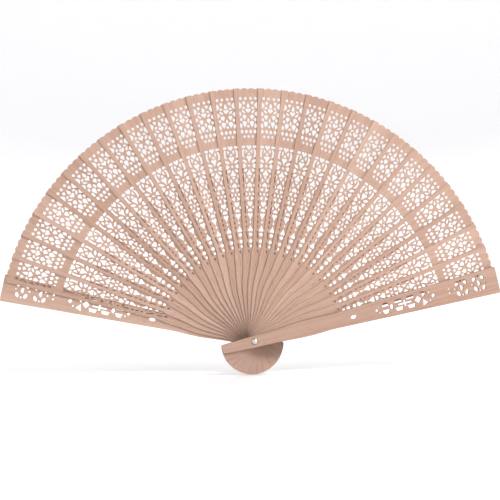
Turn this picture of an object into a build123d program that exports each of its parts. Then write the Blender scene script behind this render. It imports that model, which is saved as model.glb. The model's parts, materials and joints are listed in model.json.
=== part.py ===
from build123d import *
from math import atan, cos, degrees, radians, sin, sqrt
import os

# Sandalwood folding fan: flat openwork blades between two stouter guards, all turning on one rivet.
# Frame: origin on the rivet's axis at the middle of the stack, +X to the right and +Z up as the
# open fan is held, +Y away from its face. The front guard lies at the right, nearest the viewer,
# and each leaf to the left of it lies one layer further back. Millimetres and degrees.

# ---- the whole fan ----
blade_count = 27            # leaves between the two guards
blade_spread = 144.3        # from the first blade's axis to the last one's when open
rear_guard_step = 4.55      # from the rear guard's axis to the first blade's when open
front_guard_step = 5.15     # from the last blade's axis to the front guard's when open
tip_radius = 177.0          # rivet axis to the crest of a blade's scalloped tip
tail_length = 23.5          # rivet axis to the end of a leaf's tail

# ---- inner blades ----
blade_thickness = 0.7
layer_gap = 0.1             # air between neighbouring leaves
tip_half_width = 9.9        # at the foot of the scallops
wedge_foot_radius = 66.0    # where the pierced wedge ends and the plain handle begins
wedge_foot_half_width = 5.0
handle_top_radius = 61.0
handle_top_half_width = 5.75
handle_waist_radius = 52.0
handle_waist_half_width = 5.85
belly_radius = 40.0
belly_half_width = 6.6
neck_radius = 18.0
neck_half_width = 4.6
pivot_half_width = 4.1
tail_half_width = 3.6
tail_corner = 1.2
scallop_count = 4
scallop_rise = 1.0

# ---- guards ----
guard_thickness = 1.8
guard_gap = 0.3             # room beside a guard for the ribbon's end
guard_overhang = 0.8        # how far a guard's tip passes the blades' crest
guard_tip_half_width = 9.5
guard_foot_radius = 62.0    # where the straight wedge ends and the handle begins
guard_foot_half_width = 5.55
guard_waist_radius = 52.0
guard_waist_half_width = 5.4
guard_belly_radius = 42.0
guard_belly_half_width = 5.8
guard_neck_radius = 20.0
guard_neck_half_width = 4.8
guard_pivot_half_width = 4.1
guard_tail_half_width = 3.1
guard_tip_corner = 1.0
guard_tail_corner = 1.3
guard_lace_lean = 0.8       # how far the openwork leans towards the blades
guard_lean_inset = 72.0     # the place it leans about
guard_edge_round = 0.4      # softened rim of a guard's outer face

# ---- rivet ----
rivet_radius = 1.2
rivet_clearance = 0.098     # radial, so that the leaves turn freely
head_radius = 2.1
head_height = 1.0
head_rim = 0.25             # straight edge under the head's dome
recess_depth = 0.5          # shallow seat for the head and the washer
recess_clearance = 0.25     # radial
head_clearance = 0.1        # under the head, so that the front guard turns
washer_thickness = 0.4
washer_radius = 2.1
peen_radius = 1.7
peen_height = 0.6

# ---- ribbon, one link from each leaf to the next, glued behind the plain band ----
ribbon_width = 4.5
ribbon_thickness = 0.15
ribbon_inset = 37.6         # the plain band's middle, measured in from the blade's crest
ribbon_lap = 1.5            # how far a link reaches over the back of the leaf behind it
ribbon_guard_lap = 3.0      # the same, inside the rear guard
ribbon_clearance = 0.1      # to the leaf behind
ribbon_joint = 0.6          # between one link's end and the next link's lap

# ---- openwork ----
edge_margin = 2.7           # from a blade's edge to the row of dashes beside it
dash_width = 0.75

leaf_count = blade_count + 2
pitch = blade_spread / (blade_count - 1)
guard_tip_radius = tip_radius + guard_overhang
inner_stack = blade_count * blade_thickness + (blade_count - 1) * layer_gap
stack = inner_stack + 2 * (guard_gap + guard_thickness)
ribbon_radius = tip_radius - ribbon_inset
hole_radius = rivet_radius + rivet_clearance
recess_radius = max(head_radius, washer_radius) + recess_clearance
wedge_top = tip_radius - scallop_rise
wedge_slope = (tip_half_width - wedge_foot_half_width) / (wedge_top - wedge_foot_radius)
edge_lean = degrees(atan(wedge_slope))


def half_width(radius):
    """Half-width of an inner blade's wedge at a distance from the rivet."""
    return wedge_foot_half_width + (radius - wedge_foot_radius) * wedge_slope


def guard_half_width(radius):
    """Half-width of a guard's wedge at a distance from the rivet."""
    share = (radius - guard_foot_radius) / (guard_tip_radius - guard_foot_radius)
    return guard_foot_half_width + share * (guard_tip_half_width - guard_foot_half_width)


def plate(outline, thickness):
    """Flat piece with its back on the XZ plane and its face towards the viewer."""
    return extrude(Plane.XZ * outline, thickness, dir=(0, -1, 0))


# ---- holes, each drawn about its own middle with its length along the leaf ----

def dot(size):
    return Circle(size / 2)


def oval(width, length):
    return Ellipse(width / 2, length / 2)


def lens(width, length):
    """Pointed oval made of two arcs."""
    right = ThreePointArc((0, -length / 2), (width / 2, 0), (0, length / 2))
    left = ThreePointArc((0, length / 2), (-width / 2, 0), (0, -length / 2))
    return make_face(Wire([right, left]))


def two_sided(width, length, side):
    """Hole whose right side runs through shares of its width and length, mirrored to the left."""
    points = [(across * width, along * length) for across, along in side]
    right = Spline(*points)
    left = Spline(*[(-x, y) for x, y in reversed(points)])
    return make_face(Wire([right, left]))


def drop(width, length):
    """Teardrop with its point towards the rivet."""
    return two_sided(width, length, [(0, -0.5), (0.34, -0.08), (0.5, 0.22), (0.34, 0.43), (0, 0.5)])


def heart(width, length, notch=0.25):
    """Heart with its point towards the rivet; the notch is a share of its length."""
    return two_sided(width, length, [(0, -0.5), (0.33, -0.12), (0.5, 0.22), (0.3, 0.5), (0, 0.5 - notch)])


def tulip(width, length, notch=0.14):
    """Slender heart with hollow sides."""
    side = [(0, -0.5), (0.15, -0.2), (0.3, 0.04), (0.5, 0.3), (0.34, 0.5), (0, 0.5 - notch)]
    return two_sided(width, length, side)


def half_leaf(width, length):
    """Leaf that is flat on its +X side and bulges the other way."""
    tip, flat = length / 2, width / 2
    bulge = Spline(
        (flat, tip), (-0.1 * width, 0.27 * length), (-flat, 0), (-0.1 * width, -0.27 * length), (flat, -tip)
    )
    return make_face(Wire([bulge, Line((flat, -tip), (flat, tip))]))


def scythe(width, length):
    """Long slot that bows towards +X, its foot swinging back towards -X."""
    outer = [(0.1, 0.5), (0.5, 0.3), (0.5, -0.25), (0.1, -0.5)]
    inner = [(-0.9, -0.5), (-0.45, -0.2), (-0.5, 0.3), (-0.7, 0.5)]
    outer, inner = ([(x * width, y * length) for x, y in side] for side in (outer, inner))
    ends = [Line(outer[-1], inner[0]), Line(inner[-1], outer[0])]
    return make_face(Curve() + [Spline(*outer), ends[0], Spline(*inner), ends[1]])


def diamond(width, length):
    return Polygon((0, -length / 2), (width / 2, 0), (0, length / 2), (-width / 2, 0), align=None)


def arrowhead(width, length):
    """Triangle that points towards +X."""
    return Polygon((-width / 2, -length / 2), (width / 2, 0), (-width / 2, length / 2), align=None)


def dome(width, length):
    """Half-round hole, flat on the side towards the rivet."""
    base = -length / 2
    arch = ThreePointArc((width / 2, base), (0, length / 2), (-width / 2, base))
    return make_face(Wire([arch, Line((-width / 2, base), (width / 2, base))]))


def dash(length):
    return SlotOverall(length, dash_width, rotation=90)


def upturned(shape):
    return Rot(0, 0, 180) * shape


# ---- placing holes: "inset" is measured in from the tip ----

def middle(shape, inset, tip=tip_radius):
    return [Pos(0, tip - inset) * shape]


def pair(shape, offset, inset, turn=0, tip=tip_radius):
    """A hole and its mirror image; the right one is turned clockwise by turn."""
    right = Pos(offset, tip - inset) * Rot(0, 0, -turn) * shape
    return [right, mirror(right, Plane.YZ)]


def edge_pair(shape, inset):
    """A hole beside each edge of a blade, turned to run along it."""
    offset = half_width(tip_radius - inset) - edge_margin
    return pair(shape, offset, inset, edge_lean)


def tip_panel():
    """Dots under the scallops, and the flowered panel below them."""
    holes = pair(oval(1.9, 2.2), 1.85, 7.2) + pair(oval(1.9, 2.2), 5.3, 7.2)
    holes += pair(half_leaf(2.1, 5.4), 5.35, 12.1) + pair(drop(2.2, 2.9), 2.95, 10.7)
    holes += middle(upturned(drop(2.2, 4.3)), 11.8) + pair(oval(1.5, 2.3), 3.25, 13.9, -62)
    holes += middle(heart(3.8, 3.3, 0.36), 15.9) + pair(lens(1.5, 3.5), 3.35, 16.5, 47)
    holes += pair(half_leaf(1.7, 4.0), 5.35, 18.0) + pair(drop(2.9, 3.9), 2.6, 20.6, 4)
    holes += pair(oval(1.8, 2.3), 4.9, 22.1) + middle(lens(1.6, 3.5), 22.7)
    holes += pair(drop(3.0, 5.0), 2.5, 25.5) + pair(lens(1.8, 3.8), 5.0, 26.5, 5)
    return holes + middle(dot(1.9), 26.8)


def bead_rows():
    """Two rows of small holes above the plain band."""
    holes = pair(oval(2.0, 2.7), 1.5, 30.5) + pair(oval(2.0, 2.7), 4.5, 30.5)
    return holes + middle(oval(1.7, 2.1), 33.9) + pair(oval(1.7, 2.1), 2.85, 33.9)


def crown():
    """Hearts and long bowed slots just below the plain band."""
    holes = middle(heart(3.6, 3.7, 0.3), 41.8) + pair(Rectangle(2.6, 1.8), 3.95, 41.2)
    holes += pair(scythe(1.4, 5.8), 4.2, 45.7) + pair(half_leaf(1.5, 3.4), 1.75, 44.3)
    return holes + middle(diamond(2.3, 2.4), 46.2) + middle(tulip(3.9, 5.2), 50.1)


def rosette():
    """Six petals about a dot."""
    centre = 54.5
    holes = middle(dot(1.6), centre) + pair(lens(1.9, 4.0), 3.2, centre - 3.3, 57)
    holes += pair(Rot(0, 0, -90) * heart(3.1, 2.7, 0.22), 3.15, centre)
    return holes + pair(lens(1.9, 3.0), 2.7, centre + 3.1, -55)


def hearts_and_arrows():
    """The middle of the blade, where the wedge narrows."""
    holes = middle(upturned(tulip(3.8, 4.7)), 58.8) + edge_pair(dash(3.0), 57.9)
    holes += pair(lens(0.9, 3.4), 3.3, 61.5, 4) + middle(drop(2.1, 2.1), 62.6)
    holes += edge_pair(dash(5.0), 63.4) + pair(half_leaf(1.5, 3.7), 1.75, 64.5)
    holes += middle(upturned(heart(3.6, 3.3)), 67.6)
    holes += pair(lens(0.9, 2.4), 3.0, 68.2) + edge_pair(dash(2.3), 68.5)
    holes += pair(arrowhead(2.4, 3.0), 2.0, 71.2)
    holes += middle(oval(1.3, 2.1), 74.3) + pair(oval(1.35, 1.9), 2.45, 74.3)
    return holes + edge_pair(dash(2.1), 74.4) + pair(arrowhead(2.3, 3.1), 2.0, 77.3)


def stem():
    """The narrow lower part, ending in a pair of small holes."""
    holes = edge_pair(dash(2.0), 80.1) + middle(heart(3.6, 3.9), 81.4)
    holes += pair(lens(1.15, 2.5), 2.1, 83.5) + edge_pair(dash(5.2), 85.1)
    holes += middle(dome(2.9, 2.1), 85.5) + middle(tulip(3.6, 4.8), 90.1)
    holes += edge_pair(dash(1.8), 90.4) + edge_pair(dash(2.3), 93.8) + edge_pair(oval(1.1, 1.4), 97.1)
    holes += middle(oval(1.1, 1.9), 94.0) + middle(upturned(tulip(3.2, 4.7, 0.1)), 98.1)
    holes += middle(oval(2.6, 2.4), 102.6) + pair(dash(5.4), 2.55, 103.0, 11)
    holes += middle(oval(2.3, 2.6), 107.2) + pair(dash(3.8), 2.25, 109.8, 7)
    return holes + middle(oval(1.5, 2.1), 110.7) + pair(oval(1.2, 2.1), 1.6, 114.4)


def scallops():
    """Arcs across a blade's tip, their feet on a circle about the rivet."""
    step = 2 * tip_half_width / scallop_count
    feet = [tip_half_width - i * step for i in range(scallop_count + 1)]
    arcs = []
    for start, end in zip(feet, feet[1:]):
        crest = (start + end) / 2
        arcs.append(ThreePointArc(
            (start, foot_height(start)),
            (crest, sqrt(tip_radius ** 2 - crest ** 2)),
            (end, foot_height(end)),
        ))
    return arcs


def foot_height(offset):
    return sqrt(wedge_top ** 2 - offset ** 2)


def blade_outline():
    """Scalloped wedge on a plain swelling handle that narrows to the rivet and a blunt rounded tail."""
    wedge_foot = (wedge_foot_half_width, wedge_foot_radius)
    tail_side = (tail_half_width, tail_corner - tail_length)
    tail_end = (tail_half_width - tail_corner, -tail_length)
    right = [
        Line((tip_half_width, foot_height(tip_half_width)), wedge_foot),
        Spline(
            wedge_foot, (handle_top_half_width, handle_top_radius),
            (handle_waist_half_width, handle_waist_radius), (belly_half_width, belly_radius),
            (neck_half_width, neck_radius), (pivot_half_width, 0), tail_side,
        ),
        RadiusArc(tail_side, tail_end, tail_corner),
    ]
    foot = Line(tail_end, (-tail_end[0], tail_end[1]))
    side = Curve() + right
    outline = side + mirror(side, Plane.YZ) + scallops() + foot
    return make_face(outline)


def blade():
    """One inner blade, upright, its back on the XZ plane."""
    holes = tip_panel() + bead_rows() + crown() + rosette() + hearts_and_arrows() + stem()
    outline = blade_outline() - (holes + [Circle(hole_radius)])
    return plate(outline, blade_thickness)


# ---- guards ----

def guard_flower(inset):
    """Half-round heart with four petals and four dots about it."""
    tip = guard_tip_radius
    holes = middle(dome(4.2, 2.1), inset, tip) + pair(lens(2.4, 4.2), 3.75, inset - 3.0, -60, tip)
    holes += pair(lens(2.5, 4.0), 3.6, inset + 2.9, 60, tip) + pair(dot(1.4), 5.0, inset, 0, tip)
    return holes + middle(dot(1.4), inset + 5.0, tip)


def guard_lattice():
    """Diamond, arrowheads and the long-armed cross below the flowers."""
    tip = guard_tip_radius
    across = Rot(0, 0, 90)
    holes = middle(dot(1.0), 9.2, tip) + pair(dot(1.5), 1.5, 35.7, 0, tip)
    holes += middle(diamond(3.2, 3.2), 47.7, tip) + pair(dot(1.4), 2.9, 50.3, 0, tip)
    holes += pair(across * arrowhead(3.8, 5.0), 3.3, 54.0, 12, tip) + middle(diamond(5.4, 5.0), 59.0, tip)
    cross = Rectangle(1.1, 10.2) + Rectangle(4.4, 1.4)
    holes += middle(cross, 68.6, tip)
    for inset, offset in ((64.3, 3.15), (73.2, 2.85)):
        holes += pair(Trapezoid(6.0, 2.4, 70, rotation=-90), offset, inset, 0, tip)
    holes += middle(across * lens(2.3, 3.8), 78.4, tip)
    holes += pair(Trapezoid(5.4, 2.7, 65, rotation=-90), 2.5, 82.8, 0, tip)
    holes += pair(lens(0.9, 1.6), 2.1, 87.3, 45, tip) + middle(diamond(2.3, 2.4), 89.4, tip)
    return holes + middle(lens(2.6, 4.7), 106.5, tip)


def guard_outline():
    """Plain wedge on a swelling handle, square at both ends with softened corners."""
    tip_side = (guard_tip_half_width, guard_tip_radius)
    wedge_foot = (guard_foot_half_width, guard_foot_radius)
    tail_side = (guard_tail_half_width, -tail_length)
    right = [
        Line(tip_side, wedge_foot),
        Spline(
            wedge_foot, (guard_waist_half_width, guard_waist_radius),
            (guard_belly_half_width, guard_belly_radius), (guard_neck_half_width, guard_neck_radius),
            (guard_pivot_half_width, 0), tail_side,
        ),
    ]
    side = Curve() + right
    ends = [Line((-x, y), (x, y)) for x, y in (tip_side, tail_side)]
    outline = make_face(side + mirror(side, Plane.YZ) + ends)
    outline = fillet(outline.vertices().sort_by(Axis.Y)[:2], guard_tail_corner)
    return fillet(outline.vertices().sort_by(Axis.Y)[-2:], guard_tip_corner)


def guard(outer_is_front):
    """One guard, upright, its back on the XZ plane, with the rivet's seat in its outer face."""
    lath = plate(guard_outline(), guard_thickness)
    outer = lath.faces().sort_by(Axis.Y)[0 if outer_is_front else -1]
    lath = fillet(outer.edges(), guard_edge_round)
    lean = guard_lace_lean if outer_is_front else -guard_lace_lean
    hinge = Pos(0, guard_tip_radius - guard_lean_inset)
    holes = guard_flower(13.8) + guard_flower(26.6) + guard_lattice()
    holes = [hinge * Rot(0, 0, lean) * hinge.inverse() * hole for hole in holes] + [Circle(hole_radius)]
    lath -= [plate(hole, guard_thickness) for hole in holes]
    seat_back = recess_depth - guard_thickness if outer_is_front else 0
    return lath - Pos(0, seat_back, 0) * plate(Circle(recess_radius), recess_depth)


# ---- rivet ----

def dome_height(offset, radius, height):
    """Height of a round cap above its rim, at a distance from its middle."""
    ball = (radius ** 2 + height ** 2) / (2 * height)
    return sqrt(ball ** 2 - offset ** 2) - (ball - height)


def rivet():
    """Domed head in the front guard's seat, shank through every leaf, peened end on the washer."""
    head_back = -stack / 2 + recess_depth - head_clearance
    rim = head_back - head_rim
    crown_height = head_height - head_rim
    crest = rim - dome_height(head_radius / 2, head_radius, crown_height)
    peen_foot = stack / 2 - recess_depth + washer_thickness
    bulge = peen_foot + dome_height(peen_radius / 2, peen_radius, peen_height)
    half_section = [
        ThreePointArc((0, rim - crown_height), (head_radius / 2, crest), (head_radius, rim)),
        Polyline((head_radius, rim), (head_radius, head_back), (rivet_radius, head_back)),
        Polyline((rivet_radius, head_back), (rivet_radius, peen_foot), (peen_radius, peen_foot)),
        ThreePointArc((peen_radius, peen_foot), (peen_radius / 2, bulge), (0, peen_foot + peen_height)),
        Line((0, peen_foot + peen_height), (0, rim - crown_height)),
    ]
    return revolve(make_face(Curve() + half_section), Axis.Y)


def rear_washer():
    """Flat ring between the rear guard and the rivet's peened end."""
    ring = Circle(washer_radius) - Circle(rivet_radius)
    return Pos(0, stack / 2 - recess_depth + washer_thickness, 0) * plate(ring, washer_thickness)


# ---- stacking ----

def back_of(leaf):
    """Y of a leaf's back face; leaf 0 is the rear guard and the last is the front guard."""
    if leaf == 0:
        return stack / 2
    if leaf == leaf_count - 1:
        return guard_thickness - stack / 2
    return inner_stack / 2 - (leaf - 1) * (blade_thickness + layer_gap)


def leaf_turn(leaf):
    """How far a leaf of the open fan is turned from upright, counter-clockwise from the front."""
    if leaf == 0:
        return blade_spread / 2 + rear_guard_step
    if leaf == leaf_count - 1:
        return -blade_spread / 2 - front_guard_step
    return blade_spread / 2 - (leaf - 1) * pitch


def placed(piece, leaf, back=0.0):
    """Turn an upright piece to its leaf's place in the open fan, with its back at a given Y."""
    return Pos(0, back, 0) * Rot(0, -leaf_turn(leaf), 0) * piece


def ribbon_link(leaf):
    """Ribbon from the back of a leaf, over the edge of the leaf behind it, to that leaf's back."""
    own_half = half_width(ribbon_radius)
    behind_half = half_width(ribbon_radius)
    lap = ribbon_lap
    rise = back_of(leaf - 1) - back_of(leaf)
    if leaf == leaf_count - 1:
        own_half = guard_half_width(ribbon_radius)
    if leaf == 1:
        behind_half = guard_half_width(ribbon_radius)
        lap = ribbon_guard_lap
    step = leaf_turn(leaf - 1) - leaf_turn(leaf)
    reach = ribbon_radius * sin(radians(step))
    tilt = sin(radians(step - edge_lean)) * ribbon_width / 2
    edge = behind_half * cos(radians(step)) - reach + tilt + ribbon_clearance
    right_end = own_half - ribbon_lap - ribbon_joint
    thick = ribbon_thickness
    if leaf == 1:
        strip = Polyline(
            (edge - lap, 0), (right_end, 0), (right_end, thick), (edge - lap, thick), close=True
        )
    else:
        over = rise + ribbon_clearance / 2
        strip = Polyline(
            (edge, 0), (right_end, 0), (right_end, thick), (edge + thick, thick),
            (edge + thick, over + thick), (edge - lap, over + thick), (edge - lap, over),
            (edge, over), close=True,
        )
    link = extrude(make_face(strip), ribbon_width / 2, both=True)
    return Pos(0, 0, ribbon_radius) * link


def main():
    os.makedirs("parts", exist_ok=True)
    last = leaf_count - 1
    nodes = {
        "rear_guard": placed(guard(outer_is_front=False), 0, back_of(0)),
        "front_guard": placed(guard(outer_is_front=True), last, back_of(last)),
        "rivet": rivet(),
        "rear_washer": rear_washer(),
    }
    one_blade = blade()
    for leaf in range(1, last):
        nodes[f"blade_{leaf:02d}"] = placed(one_blade, leaf, back_of(leaf))
    for leaf in range(1, leaf_count):
        link = ribbon_link(leaf)
        nodes[f"ribbon_link_{leaf:02d}"] = placed(link, leaf, back_of(leaf))
    for name, solid in nodes.items():
        export_step(solid, f"parts/{name}.step")


main()
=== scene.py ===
import json
import math

import bmesh
import bpy
from mathutils import Euler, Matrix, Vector


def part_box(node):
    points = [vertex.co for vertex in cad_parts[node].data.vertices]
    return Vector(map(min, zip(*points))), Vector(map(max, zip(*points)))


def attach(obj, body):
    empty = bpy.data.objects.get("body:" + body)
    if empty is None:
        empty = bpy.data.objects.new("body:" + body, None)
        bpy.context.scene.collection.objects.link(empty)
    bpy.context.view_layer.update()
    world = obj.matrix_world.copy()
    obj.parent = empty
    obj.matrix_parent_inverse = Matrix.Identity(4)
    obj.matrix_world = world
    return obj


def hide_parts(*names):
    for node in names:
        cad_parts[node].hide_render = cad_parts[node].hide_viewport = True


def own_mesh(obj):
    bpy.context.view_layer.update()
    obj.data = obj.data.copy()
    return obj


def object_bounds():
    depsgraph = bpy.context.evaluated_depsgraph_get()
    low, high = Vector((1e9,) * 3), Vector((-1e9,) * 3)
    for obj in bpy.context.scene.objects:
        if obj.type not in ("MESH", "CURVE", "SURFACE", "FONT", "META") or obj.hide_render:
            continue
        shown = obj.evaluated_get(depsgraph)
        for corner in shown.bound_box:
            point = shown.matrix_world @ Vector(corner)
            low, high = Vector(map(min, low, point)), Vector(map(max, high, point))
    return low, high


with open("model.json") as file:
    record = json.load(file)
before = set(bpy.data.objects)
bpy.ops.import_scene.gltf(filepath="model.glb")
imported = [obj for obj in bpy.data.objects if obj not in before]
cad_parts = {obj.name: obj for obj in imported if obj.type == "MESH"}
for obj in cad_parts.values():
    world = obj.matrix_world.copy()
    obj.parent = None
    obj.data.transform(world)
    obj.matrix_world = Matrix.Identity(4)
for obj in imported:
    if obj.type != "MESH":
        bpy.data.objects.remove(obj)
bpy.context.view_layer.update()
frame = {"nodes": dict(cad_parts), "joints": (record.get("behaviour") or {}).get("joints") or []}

MM = 0.001
BLADES = sum(name.startswith("blade_") for name in frame["nodes"])
LEAVES = BLADES + 2
SWING = {joint["name"]: math.radians(joint["range_deg"][1]) for joint in frame["joints"]}
REAR_TURN = math.radians(76.7)   # the rear guard's turn from upright in the open fan
UPRIGHT = (LEAVES - 1) // 2      # the blade that stands upright in the open fan

# ---- leaves: 0 is the rear guard, the last is the front guard ----


def leaf_name(leaf):
    if leaf == 0:
        return "rear_guard"
    if leaf == LEAVES - 1:
        return "front_guard"
    return f"blade_{leaf:02d}"


def leaf_turn(leaf):
    """How far a leaf is turned from upright, counter-clockwise seen from the front."""
    if leaf == 0:
        return REAR_TURN
    return REAR_TURN - SWING[f"{leaf_name(leaf)}_swing"]


def leaf_step(leaf):
    """Angle between a leaf and the one behind it."""
    return leaf_turn(leaf - 1) - leaf_turn(leaf)


# ---- small helpers for node trees ----


def new_material(name):
    material = bpy.data.materials.new(name)
    material.use_nodes = True
    tree = material.node_tree
    shader = tree.nodes["Principled BSDF"]
    return material, tree, shader


def add(tree, kind, **settings):
    node = tree.nodes.new(kind)
    for key, value in settings.items():
        setattr(node, key, value)
    return node


def wire(tree, source, target):
    tree.links.new(source, target)


def maths(tree, operation, a, b=None):
    node = add(tree, "ShaderNodeMath", operation=operation)
    for socket, value in zip(node.inputs, (a, b)):
        if value is None:
            continue
        if isinstance(value, (int, float)):
            socket.default_value = value
        else:
            wire(tree, value, socket)
    return node.outputs[0]


def weighted(tree, a, share_a, b, share_b):
    return maths(tree, "ADD", maths(tree, "MULTIPLY", a, share_a), maths(tree, "MULTIPLY", b, share_b))


def mixed(tree, share, a, b, blend="MIX"):
    node = add(tree, "ShaderNodeMix", data_type="RGBA", blend_type=blend)
    for socket, value in ((node.inputs[0], share), (node.inputs[6], a), (node.inputs[7], b)):
        if isinstance(value, (int, float)):
            socket.default_value = value
        elif isinstance(value, tuple):
            socket.default_value = (*value, 1.0)
        else:
            wire(tree, value, socket)
    return node.outputs[2]


def ranged(tree, value, low, high, to_low=0.0, to_high=1.0):
    node = add(tree, "ShaderNodeMapRange")
    wire(tree, value, node.inputs["Value"])
    node.inputs["From Min"].default_value = low
    node.inputs["From Max"].default_value = high
    node.inputs["To Min"].default_value = to_low
    node.inputs["To Max"].default_value = to_high
    return node.outputs[0]


def stretched(tree, coordinates, scale):
    node = add(tree, "ShaderNodeMapping")
    node.inputs["Scale"].default_value = scale
    wire(tree, coordinates, node.inputs["Vector"])
    return node.outputs[0]


def noise(tree, coordinates, scale=1.0, detail=3.0, roughness=0.55):
    node = add(tree, "ShaderNodeTexNoise")
    wire(tree, coordinates, node.inputs["Vector"])
    node.inputs["Scale"].default_value = scale
    node.inputs["Detail"].default_value = detail
    node.inputs["Roughness"].default_value = roughness
    return node.outputs[0]


def raise_surface(tree, shader, height, strength, distance):
    bump = add(tree, "ShaderNodeBump")
    bump.inputs["Strength"].default_value = strength
    bump.inputs["Distance"].default_value = distance
    wire(tree, height, bump.inputs["Height"])
    wire(tree, bump.outputs[0], shader.inputs["Normal"])


# ---- sandalwood ----

PALE = (0.465, 0.313, 0.246)
WARM = (0.372, 0.228, 0.165)
PORE = (0.190, 0.100, 0.062)
# dark brown painted onto the side walls of the edges and piercings as painted shade
SIDE_WALL_SHADE = (0.130, 0.068, 0.042)


def sandalwood(name, turn, number, tone):
    """Bare sandalwood with its grain along a leaf that is turned from upright; tone darkens it a little."""
    material, tree, shader = new_material(name)
    place = add(tree, "ShaderNodeTexCoord")
    along = add(tree, "ShaderNodeMapping")
    along.inputs["Rotation"].default_value = (0, turn, 0)
    along.inputs["Location"].default_value = (0.031 * number, 0.017 * number, 0.113 * number)
    wire(tree, place.outputs["Object"], along.inputs["Vector"])
    grain = along.outputs[0]

    streaks = noise(tree, stretched(tree, grain, (520, 520, 7)), detail=4, roughness=0.6)
    fibres = noise(tree, stretched(tree, grain, (2600, 2600, 60)), detail=2)
    drift = noise(tree, stretched(tree, grain, (60, 60, 5)), detail=2)
    pores = noise(tree, stretched(tree, grain, (1500, 1500, 150)), detail=1)

    figure = weighted(tree, streaks, 0.62, drift, 0.38)
    colour = mixed(tree, ranged(tree, figure, 0.36, 0.64), PALE, WARM)
    colour = mixed(tree, ranged(tree, fibres, 0.35, 0.75, 0.0, 0.22), colour, WARM)
    flecks = ranged(tree, pores, 0.62, 0.74, 0.0, 0.42)
    colour = mixed(tree, flecks, colour, PORE)

    # painted shade: faces that do not face the front or back (the side walls of the edges and piercings) are
    # darkened towards the dark wall brown, standing in for the shade on those walls
    facing = add(tree, "ShaderNodeSeparateXYZ")
    wire(tree, place.outputs["Normal"], facing.inputs[0])
    flat = maths(tree, "ABSOLUTE", facing.outputs["Y"])
    painted_wall_shade = ranged(tree, flat, 0.35, 0.8, 0.85, 0.0)
    colour = mixed(tree, painted_wall_shade, colour, SIDE_WALL_SHADE)
    colour = mixed(tree, tone, colour, WARM, "MULTIPLY")
    wire(tree, colour, shader.inputs["Base Color"])

    rough = ranged(tree, streaks, 0.3, 0.7, 0.52, 0.68)
    wire(tree, rough, shader.inputs["Roughness"])
    shader.inputs["Specular IOR Level"].default_value = 0.35

    height = maths(tree, "SUBTRACT", weighted(tree, streaks, 1.0, fibres, 0.5), flecks)
    raise_surface(tree, shader, height, strength=0.35, distance=0.06 * MM)
    return material


def dress(obj, material):
    obj.data.materials.clear()
    obj.data.materials.append(material)


def wooden_leaves():
    """Every blade and guard gets its own cut of wood."""
    tones = (0.00, 0.10, 0.04, 0.14, 0.02, 0.08, 0.16, 0.05, 0.12, 0.01, 0.09)
    for leaf in range(LEAVES):
        name = leaf_name(leaf)
        wood = sandalwood(f"sandalwood_{name}", leaf_turn(leaf), leaf + 1, tones[leaf % len(tones)])
        dress(frame["nodes"][name], wood)


# ---- rivet and washer ----

SHANK_RADIUS = 1.2 * MM
PEEN_RADIUS = 1.7 * MM
HEAD_DEPTH = 0.4 * MM       # from the front guard's face down to the head's underside
HEAD_ROLL = 0.22 * MM       # thickness of the head's rolled rim
PEEN_ROLL = 0.1 * MM
PEEN_FLAT = ((0.86, 0.52), (0.66, 0.80), (0.42, 0.95), (0.2, 0.995))   # hammered end: radius, height
WASHER_ROLL = 0.1 * MM
WASHER_BURR = 0.03 * MM

def bright_nickel():
    material, tree, shader = new_material("bright_nickel")
    place = add(tree, "ShaderNodeTexCoord")
    wear = noise(tree, place.outputs["Object"], 900, 4)
    scuffs = noise(tree, stretched(tree, place.outputs["Object"], (700, 700, 4200)), detail=3)
    colour = mixed(tree, ranged(tree, wear, 0.35, 0.7), (0.70, 0.69, 0.66), (0.50, 0.48, 0.45))
    wire(tree, colour, shader.inputs["Base Color"])
    shader.inputs["Metallic"].default_value = 1.0
    wire(tree, ranged(tree, scuffs, 0.3, 0.7, 0.18, 0.36), shader.inputs["Roughness"])
    raise_surface(tree, shader, wear, strength=0.15, distance=0.03 * MM)
    return material


def turned_piece(name, outline, segments=64):
    """Closed solid of revolution about Y; its outline of (radius, y) runs from axis to axis or is a ring."""
    mesh = bpy.data.meshes.new(name)
    bm = bmesh.new()
    rings = []
    for radius, y in outline:
        if radius < 1e-9:
            rings.append([bm.verts.new((0, y, 0))])
            continue
        turn = 2 * math.pi / segments
        rings.append([
            bm.verts.new((radius * math.sin(i * turn), y, radius * math.cos(i * turn)))
            for i in range(segments)
        ])
    closed = len(rings[0]) > 1
    pairs = list(zip(rings, rings[1:])) + ([(rings[-1], rings[0])] if closed else [])
    for a, b in pairs:
        for i in range(segments):
            j = (i + 1) % segments
            corners = [a[i % len(a)], a[j % len(a)], b[j % len(b)], b[i % len(b)]]
            unique = list(dict.fromkeys(corners))
            bm.faces.new(unique)
    bmesh.ops.recalc_face_normals(bm, faces=bm.faces)
    bm.to_mesh(mesh)
    bm.free()
    mesh.shade_smooth()
    obj = bpy.data.objects.new(name, mesh)
    bpy.context.scene.collection.objects.link(obj)
    return obj


def arc(centre, radius, start, end, steps):
    """Points on an arc in the (radius, y) section, angles in degrees from outwards towards +y."""
    points = []
    for i in range(steps + 1):
        angle = math.radians(start + (end - start) * i / steps)
        points.append((centre[0] + radius * math.cos(angle), centre[1] + radius * math.sin(angle)))
    return points


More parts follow.
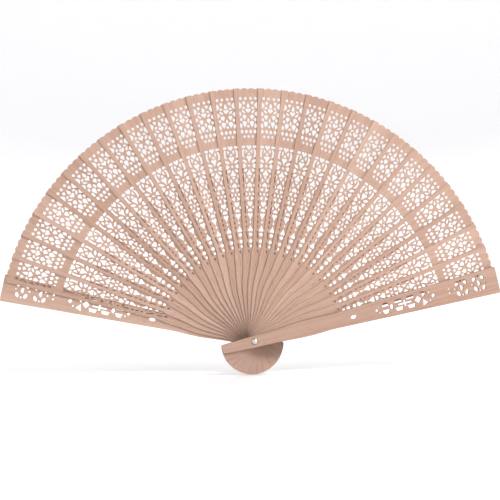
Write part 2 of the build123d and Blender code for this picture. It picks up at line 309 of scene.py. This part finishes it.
def rivet(material):
    """Domed head with a rolled rim, the shank, and a peened end hammered a little flat."""
    low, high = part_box("rivet")
    head_radius = high.x
    head_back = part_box("front_guard")[0].y + HEAD_DEPTH
    washer_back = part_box("rear_washer")[1].y
    dome = head_back - HEAD_ROLL - low.y
    outline = []
    steps = 10
    for i in range(steps + 1):
        angle = i / steps * math.pi / 2
        outline.append((
            (head_radius - 0.12 * MM) * math.sin(angle), low.y + dome * (1 - math.cos(angle)) ** 1.15,
        ))
    rim = HEAD_ROLL / 2
    outline += arc((head_radius - rim, head_back - rim), rim, -70, 90, 6)
    outline += [(SHANK_RADIUS, head_back), (SHANK_RADIUS, washer_back)]
    outline += [(PEEN_RADIUS - 0.08 * MM, washer_back)]
    outline += arc((PEEN_RADIUS - PEEN_ROLL, washer_back + PEEN_ROLL), PEEN_ROLL, -60, 50, 4)
    peen = high.y - washer_back
    outline += [(PEEN_RADIUS * share, washer_back + peen * height) for share, height in PEEN_FLAT]
    outline.append((0, high.y))
    fit_metal(turned_piece("rivet_nickel", outline), material, "rivet")


def washer(material):
    """Stamped ring: one rolled edge and one sheared edge."""
    low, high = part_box("rear_washer")
    outline = [(SHANK_RADIUS, low.y), (high.x - WASHER_BURR, low.y), (high.x, low.y + WASHER_BURR)]
    outline += arc((high.x - WASHER_ROLL, high.y - WASHER_ROLL), WASHER_ROLL, 0, 90, 5)
    outline += [(SHANK_RADIUS + WASHER_ROLL, high.y), (SHANK_RADIUS, high.y - WASHER_ROLL)]
    fit_metal(turned_piece("washer_nickel", outline), material, "rear_washer")


def fit_metal(piece, material, node):
    dress(piece, material)
    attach(piece, "rear_guard")
    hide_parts(node)


# ---- ribbon ----


def ribbon_cloth(name, turn):
    """Fine ribbed weave; the ribs run across the ribbon."""
    material, tree, shader = new_material(name)
    place = add(tree, "ShaderNodeTexCoord")
    along = add(tree, "ShaderNodeMapping")
    along.inputs["Rotation"].default_value = (0, turn, 0)
    wire(tree, place.outputs["Object"], along.inputs["Vector"])
    ribs = add(tree, "ShaderNodeTexWave", wave_type="BANDS", bands_direction="X", wave_profile="SIN")
    ribs.inputs["Scale"].default_value = 900
    ribs.inputs["Distortion"].default_value = 0.4
    wire(tree, along.outputs[0], ribs.inputs["Vector"])
    warp = add(tree, "ShaderNodeTexWave", wave_type="BANDS", bands_direction="Z", wave_profile="SIN")
    warp.inputs["Scale"].default_value = 1500
    wire(tree, along.outputs[0], warp.inputs["Vector"])
    weave = maths(tree, "MULTIPLY", ribs.outputs["Fac"], warp.outputs["Fac"])
    fade = noise(tree, along.outputs[0], 260, 3)
    colour = mixed(tree, weave, (0.470, 0.300, 0.205), (0.730, 0.540, 0.420))
    colour = mixed(tree, ranged(tree, fade, 0.4, 0.7, 0.0, 0.3), colour, (0.560, 0.390, 0.290))
    wire(tree, colour, shader.inputs["Base Color"])
    shader.inputs["Roughness"].default_value = 0.75
    shader.inputs["Sheen Weight"].default_value = 0.35
    raise_surface(tree, shader, weave, strength=0.6, distance=0.05 * MM)
    return material


def strip_tree():
    """Sweeps a flat ribbon with two round selvedges along a curve."""
    tree = bpy.data.node_groups.new("ribbon strip", "GeometryNodeTree")
    sockets = tree.interface
    sockets.new_socket("Geometry", in_out="INPUT", socket_type="NodeSocketGeometry")
    for label in ("Width", "Thickness", "Selvedge"):
        sockets.new_socket(label, in_out="INPUT", socket_type="NodeSocketFloat")
    sockets.new_socket("Cloth", in_out="INPUT", socket_type="NodeSocketMaterial")
    sockets.new_socket("Geometry", in_out="OUTPUT", socket_type="NodeSocketGeometry")
    entry = tree.nodes.new("NodeGroupInput")
    leave = tree.nodes.new("NodeGroupOutput")

    upright = tree.nodes.new("GeometryNodeSetCurveNormal")
    upright.mode = "Z_UP"
    wire(tree, entry.outputs["Geometry"], upright.inputs["Curve"])

    section = tree.nodes.new("GeometryNodeCurvePrimitiveQuadrilateral")
    wire(tree, entry.outputs["Thickness"], section.inputs["Width"])
    wire(tree, entry.outputs["Width"], section.inputs["Height"])
    sweep = tree.nodes.new("GeometryNodeCurveToMesh")
    sweep.inputs["Fill Caps"].default_value = True
    wire(tree, upright.outputs[0], sweep.inputs["Curve"])
    wire(tree, section.outputs[0], sweep.inputs["Profile Curve"])

    join = tree.nodes.new("GeometryNodeJoinGeometry")
    wire(tree, sweep.outputs[0], join.inputs[0])
    for side in (-0.5, 0.5):
        shift = tree.nodes.new("ShaderNodeMath")
        shift.operation = "MULTIPLY"
        shift.inputs[1].default_value = side
        wire(tree, entry.outputs["Width"], shift.inputs[0])
        offset = tree.nodes.new("ShaderNodeCombineXYZ")
        wire(tree, shift.outputs[0], offset.inputs["Z"])
        moved = tree.nodes.new("GeometryNodeTransform")
        wire(tree, upright.outputs[0], moved.inputs["Geometry"])
        wire(tree, offset.outputs[0], moved.inputs["Translation"])
        round_section = tree.nodes.new("GeometryNodeCurvePrimitiveCircle")
        round_section.inputs["Resolution"].default_value = 10
        wire(tree, entry.outputs["Selvedge"], round_section.inputs["Radius"])
        cord = tree.nodes.new("GeometryNodeCurveToMesh")
        cord.inputs["Fill Caps"].default_value = True
        wire(tree, moved.outputs[0], cord.inputs["Curve"])
        wire(tree, round_section.outputs[0], cord.inputs["Profile Curve"])
        wire(tree, cord.outputs[0], join.inputs[0])

    realize = tree.nodes.new("GeometryNodeRealizeInstances")
    wire(tree, join.outputs[0], realize.inputs[0])
    paint = tree.nodes.new("GeometryNodeSetMaterial")
    wire(tree, realize.outputs[0], paint.inputs["Geometry"])
    wire(tree, entry.outputs["Cloth"], paint.inputs["Material"])
    wire(tree, paint.outputs[0], leave.inputs[0])
    return tree


def set_input(modifier, label, value):
    for item in modifier.node_group.interface.items_tree:
        if item.item_type == "SOCKET" and item.in_out == "INPUT" and item.name == label:
            modifier[item.identifier] = value


def path_object(name, points):
    curve = bpy.data.curves.new(name, "CURVE")
    curve.dimensions = "3D"
    spline = curve.splines.new("NURBS")
    spline.points.add(len(points) - 1)
    for point, place in zip(spline.points, points):
        point.co = (*place, 1.0)
    spline.order_u = 3
    spline.use_endpoint_u = True
    spline.resolution_u = 6
    obj = bpy.data.objects.new(name, curve)
    bpy.context.scene.collection.objects.link(obj)
    return obj


RIBBON_THICKNESS = 0.13 * MM
SELVEDGE = 0.1 * MM
LAP = 2.0 * MM              # how far a link reaches over the leaf behind it
UNDER_GUARD = 3.0 * MM      # the first link's reach inside the rear guard
TUCK = 0.3 * MM             # from a leaf's edge to the end of its own link
LINK_LAP = 1.5 * MM         # the frame's own lap, from its link's left end to the edge behind
LINK_INSET = 2.1 * MM       # from its right end to its own leaf's edge
BEND = 0.35 * MM            # room for the step down over the edge behind


def ribbon_path(leaf):
    """Line of one link in its own upright leaf's frame: (x, y) points from the right end to the left."""
    own_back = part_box(leaf_name(leaf))[1].y
    behind_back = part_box(leaf_name(leaf - 1))[1].y
    low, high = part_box(f"ribbon_link_{UPRIGHT:02d}")
    radius = (low.z + high.z) / 2
    edge = low.x + LINK_LAP + radius * (math.sin(leaf_step(UPRIGHT)) - math.sin(leaf_step(leaf)))
    right = high.x + LINK_INSET - TUCK
    lie = own_back + RIBBON_THICKNESS / 2 + 0.01 * MM
    if leaf == LEAVES - 1:
        right -= 0.3 * MM
    if leaf == 1:
        return [(right, lie), (right - 3 * MM, lie), (edge, lie), (edge - UNDER_GUARD, lie)]
    over = behind_back + 1.5 * RIBBON_THICKNESS + 0.03 * MM
    return [
        (right, lie), (right - 4 * MM, lie), (right - 8 * MM, lie + 0.02 * MM), (edge + 1.6 * MM, lie),
        (edge + BEND, lie), (edge + 0.1 * MM, (lie + over) / 2), (edge - 0.02 * MM, over),
        (edge - 0.6 * MM, over + 0.02 * MM), (edge - LAP, over),
    ]


def ribbon_links():
    tree = strip_tree()
    low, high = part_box(f"ribbon_link_{UPRIGHT:02d}")
    radius = (low.z + high.z) / 2
    width = high.z - low.z
    for leaf in range(1, LEAVES):
        name = f"ribbon_link_{leaf:02d}"
        cloth = ribbon_cloth(f"ribbon_cloth_{leaf:02d}", leaf_turn(leaf))
        path = path_object("path", [(x, y, 0) for x, y in ribbon_path(leaf)])
        modifier = path.modifiers.new("strip", "NODES")
        modifier.node_group = tree
        set_input(modifier, "Width", width - 0.2 * MM)
        set_input(modifier, "Thickness", RIBBON_THICKNESS)
        set_input(modifier, "Selvedge", SELVEDGE)
        set_input(modifier, "Cloth", cloth)
        bpy.context.view_layer.update()
        made = path.evaluated_get(bpy.context.evaluated_depsgraph_get())
        mesh = bpy.data.meshes.new_from_object(made)
        bpy.data.objects.remove(path)
        turned = Euler((0, -leaf_turn(leaf), 0)).to_matrix().to_4x4()
        for vertex in mesh.vertices:
            vertex.co = turned @ (vertex.co + Vector((0, 0, radius)))
        obj = bpy.data.objects.new(f"ribbon_{leaf:02d}", mesh)
        bpy.context.scene.collection.objects.link(obj)
        body = leaf_name(leaf)
        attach(obj, body)
        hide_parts(name)
        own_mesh(obj)


# ---- stage ----

FLOOR_GAP = 0.2 * MM
FLOOR_REACH = 2.2
FLOOR_BEND = 0.7            # radius of the sweep from the floor up into the wall
WALL_HEIGHT = 1.6
LIT_SPOT = Vector((0, 0, 0.06))

def studio():
    white, tree, shader = new_material("studio_white")
    shader.inputs["Base Color"].default_value = (0.93, 0.93, 0.94, 1)
    shader.inputs["Roughness"].default_value = 0.9
    floor_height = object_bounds()[0][2] - FLOOR_GAP
    mesh = bpy.data.meshes.new("studio_floor")
    bm = bmesh.new()
    segments = 96
    flat = FLOOR_REACH - FLOOR_BEND
    section = [(0.0, 0.0), (flat, 0.0)]
    for degrees in range(10, 91, 10):
        angle = math.radians(degrees)
        section.append((flat + FLOOR_BEND * math.sin(angle), FLOOR_BEND * (1 - math.cos(angle))))
    section.append((FLOOR_REACH, WALL_HEIGHT))
    rings = []
    for radius, height in section:
        if radius == 0:
            rings.append([bm.verts.new((0, 0, floor_height))])
            continue
        rings.append([
            bm.verts.new((radius * math.cos(2 * math.pi * i / segments),
                          radius * math.sin(2 * math.pi * i / segments), floor_height + height))
            for i in range(segments)
        ])
    for a, b in zip(rings, rings[1:]):
        for i in range(segments):
            j = (i + 1) % segments
            corners = [a[i % len(a)], b[i % len(b)], b[j % len(b)], a[j % len(a)]]
            bm.faces.new(list(dict.fromkeys(corners)))
    bm.to_mesh(mesh)
    bm.free()
    mesh.shade_smooth()
    floor = bpy.data.objects.new("studio_floor", mesh)
    bpy.context.scene.collection.objects.link(floor)
    dress(floor, white)

    world = bpy.data.worlds.new("studio_air")
    bpy.context.scene.world = world
    world.use_nodes = True
    air = world.node_tree.nodes["Background"]
    air.inputs["Color"].default_value = (1.0, 1.0, 1.0, 1)
    air.inputs["Strength"].default_value = 0.62


def softbox(name, place, size, power, colour=(1, 1, 1)):
    light = bpy.data.lights.new(name, "AREA")
    light.shape = "SQUARE"
    light.size = size
    light.energy = power
    light.color = colour
    obj = bpy.data.objects.new(name, light)
    obj.location = place
    obj.rotation_euler = (LIT_SPOT - Vector(place)).to_track_quat("-Z", "Y").to_euler()
    bpy.context.scene.collection.objects.link(obj)


def camera():
    """Seen almost square on, from a little to the left and level with the fan's middle."""
    yaw, pitch, roll = math.radians(-6.5), math.radians(-0.36), math.radians(-1.17)
    distance = 0.916
    field = 0.3505
    aim = Vector((-0.0007, 0.0, 0.0634))
    place = aim + distance * Vector((
        math.sin(yaw) * math.cos(pitch), -math.cos(yaw) * math.cos(pitch), math.sin(pitch)
    ))
    data = bpy.data.cameras.new("camera")
    data.sensor_width = 36
    data.lens = 36 * distance / field
    data.clip_end = 20
    obj = bpy.data.objects.new("camera", data)
    obj.location = place
    look = (aim - place).to_track_quat("-Z", "Y").to_matrix()
    obj.rotation_euler = (look @ Euler((0, 0, roll)).to_matrix()).to_euler()
    bpy.context.scene.collection.objects.link(obj)
    bpy.context.scene.camera = obj


camera()
studio()
softbox("key", (0.8, -1.2, 1.0), 0.4, 23)
softbox("fill", (-1.1, -1.1, 0.5), 1.0, 2)
softbox("back", (0.2, 1.3, 1.2), 1.0, 14)
wooden_leaves()
nickel = bright_nickel()
rivet(nickel)
washer(nickel)
ribbon_links()
bpy.context.scene.view_settings.view_transform = "Standard"
